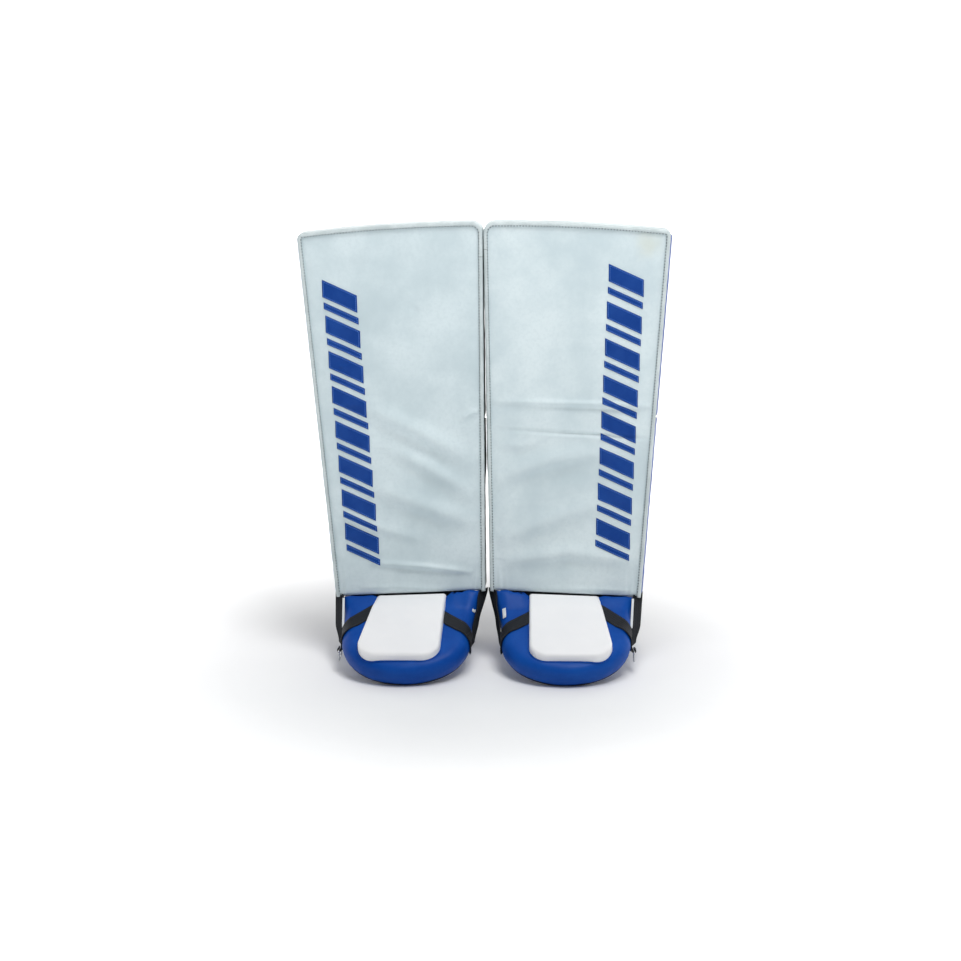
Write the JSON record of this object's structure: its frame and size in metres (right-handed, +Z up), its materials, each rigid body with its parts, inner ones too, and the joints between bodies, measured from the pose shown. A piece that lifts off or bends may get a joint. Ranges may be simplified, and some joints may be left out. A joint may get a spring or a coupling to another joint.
{
  "type": "goalie leg pads",
  "caption": "Pair of flat-faced ice hockey goalie leg pads with padded boots, knee breaks, leg wraps and straps, standing upright side by side.",
  "frame": {"origin": "on the floor, under the middle of the pair's bounding box", "axes": "+Z up, the faces look towards -Y, +X towards the wearer's left pad"},
  "size_m": [0.6188, 0.3164, 0.7551],
  "materials": {
    "white_leather": "satin synthetic leather",
    "white_binding": "satin bound edge",
    "blue_leather": "satin synthetic leather",
    "blue_applique": "stitched synthetic leather",
    "black_leather": "matt",
    "black_nylon": "woven nylon over foam",
    "black_webbing": "ribbed webbing",
    "lining": "brushed lining",
    "foam": "closed-cell foam",
    "knee_foam": "covered foam",
    "hook_tape": "hook tape",
    "steel": "nickel-plated steel"
  },
  "bodies": {
    "right_shin": {"right_shin_core": "foam", "right_shin_face": "white_leather", "right_shin_binding": "white_binding", "right_shin_back_cover": "blue_leather", "right_shin_bars": "blue_applique", "right_knee_stack": "knee_foam", "right_calf_pad": "lining", "right_inner_calf_wing": "black_nylon", "right_hook_patches": "hook_tape", "right_heel_wings": "black_nylon", "right_heel_rivets": "steel"},
    "right_thigh": {"right_thigh_core": "foam", "right_thigh_face": "white_leather", "right_thigh_binding": "white_binding", "right_thigh_back_cover": "blue_leather", "right_thigh_bars": "blue_applique", "right_inner_knee_wing": "black_nylon"},
    "right_calf_wrap": {"right_outer_calf_wing": "black_nylon", "right_calf_straps": "black_webbing", "right_calf_rivets": "steel"},
    "right_knee_wrap": {"right_outer_knee_wing": "black_nylon", "right_knee_strap": "black_webbing"},
    "right_heel_loop": {"right_heel_strap": "black_webbing"},
    "right_boot": {"right_boot_core": "foam", "right_boot_cover": "blue_leather", "right_toe_panel": "white_leather", "right_cross_strap": "black_webbing", "right_side_webs": "black_webbing", "right_toe_bridge": "black_leather"},
    "right_ring": {"right_side_ring": "steel"},
    "left_shin": {"left_shin_core": "foam", "left_shin_face": "white_leather", "left_shin_binding": "white_binding", "left_shin_back_cover": "blue_leather", "left_shin_bars": "blue_applique", "left_knee_stack": "knee_foam", "left_calf_pad": "lining", "left_inner_calf_wing": "black_nylon", "left_hook_patches": "hook_tape", "left_heel_wings": "black_nylon", "left_heel_rivets": "steel"},
    "left_thigh": {"left_thigh_core": "foam", "left_thigh_face": "white_leather", "left_thigh_binding": "white_binding", "left_thigh_back_cover": "blue_leather", "left_thigh_bars": "blue_applique", "left_inner_knee_wing": "black_nylon"},
    "left_calf_wrap": {"left_outer_calf_wing": "black_nylon", "left_calf_straps": "black_webbing", "left_calf_rivets": "steel"},
    "left_knee_wrap": {"left_outer_knee_wing": "black_nylon", "left_knee_strap": "black_webbing"},
    "left_heel_loop": {"left_heel_strap": "black_webbing"},
    "left_boot": {"left_boot_core": "foam", "left_boot_cover": "blue_leather", "left_toe_panel": "white_leather", "left_cross_strap": "black_webbing", "left_side_webs": "black_webbing", "left_toe_bridge": "black_leather"},
    "left_ring": {"left_side_ring": "steel"}
  },
  "joints": [
    {"name": "pads_apart", "type": "slide", "parent": "right_shin", "child": "left_shin", "axis": [1, 0, 0], "range_m": [0, 0.25]},
    {"name": "right_knee_break", "type": "hinge", "parent": "right_shin", "child": "right_thigh", "pos_m": [-0.145, -0.002, 0.425], "axis": [-1, 0, 0], "range_deg": [-10, 15], "stiffness_Nm_per_rad": 30},
    {"name": "right_boot_break", "type": "hinge", "parent": "right_shin", "child": "right_boot", "pos_m": [-0.136, 0, 0.107], "axis": [-1, 0, 0], "range_deg": [-10, 20], "stiffness_Nm_per_rad": 60},
    {"name": "right_calf_wrap_hinge", "type": "hinge", "parent": "right_shin", "child": "right_calf_wrap", "pos_m": [-0.228, 0.0555, 0.273], "axis": [0, 0, 1], "range_deg": [0, 85]},
    {"name": "right_knee_wrap_hinge", "type": "hinge", "parent": "right_thigh", "child": "right_knee_wrap", "pos_m": [-0.228, 0.0555, 0.523], "axis": [0, 0, 1], "range_deg": [0, 85]},
    {"name": "right_heel_strap_swing", "type": "hinge", "parent": "right_shin", "child": "right_heel_loop", "pos_m": [-0.136, 0.092, 0.062], "axis": [1, 0, 0], "range_deg": [0, 75]},
    {"name": "right_ring_swing", "type": "hinge", "parent": "right_boot", "child": "right_ring", "pos_m": [-0.2512, -0.072, 0.038], "axis": [0, 1, 0], "range_deg": [0, 60]},
    {"name": "left_knee_break", "type": "hinge", "parent": "left_shin", "child": "left_thigh", "pos_m": [0.145, -0.002, 0.425], "axis": [-1, 0, 0], "range_deg": [-10, 15], "stiffness_Nm_per_rad": 30},
    {"name": "left_boot_break", "type": "hinge", "parent": "left_shin", "child": "left_boot", "pos_m": [0.136, 0, 0.107], "axis": [-1, 0, 0], "range_deg": [-10, 20], "stiffness_Nm_per_rad": 60},
    {"name": "left_calf_wrap_hinge", "type": "hinge", "parent": "left_shin", "child": "left_calf_wrap", "pos_m": [0.228, 0.0555, 0.273], "axis": [0, 0, -1], "range_deg": [0, 85]},
    {"name": "left_knee_wrap_hinge", "type": "hinge", "parent": "left_thigh", "child": "left_knee_wrap", "pos_m": [0.228, 0.0555, 0.523], "axis": [0, 0, -1], "range_deg": [0, 85]},
    {"name": "left_heel_strap_swing", "type": "hinge", "parent": "left_shin", "child": "left_heel_loop", "pos_m": [0.136, 0.092, 0.062], "axis": [1, 0, 0], "range_deg": [0, 75]},
    {"name": "left_ring_swing", "type": "hinge", "parent": "left_boot", "child": "left_ring", "pos_m": [0.2512, -0.072, 0.038], "axis": [0, -1, 0], "range_deg": [0, 60]}
  ]
}
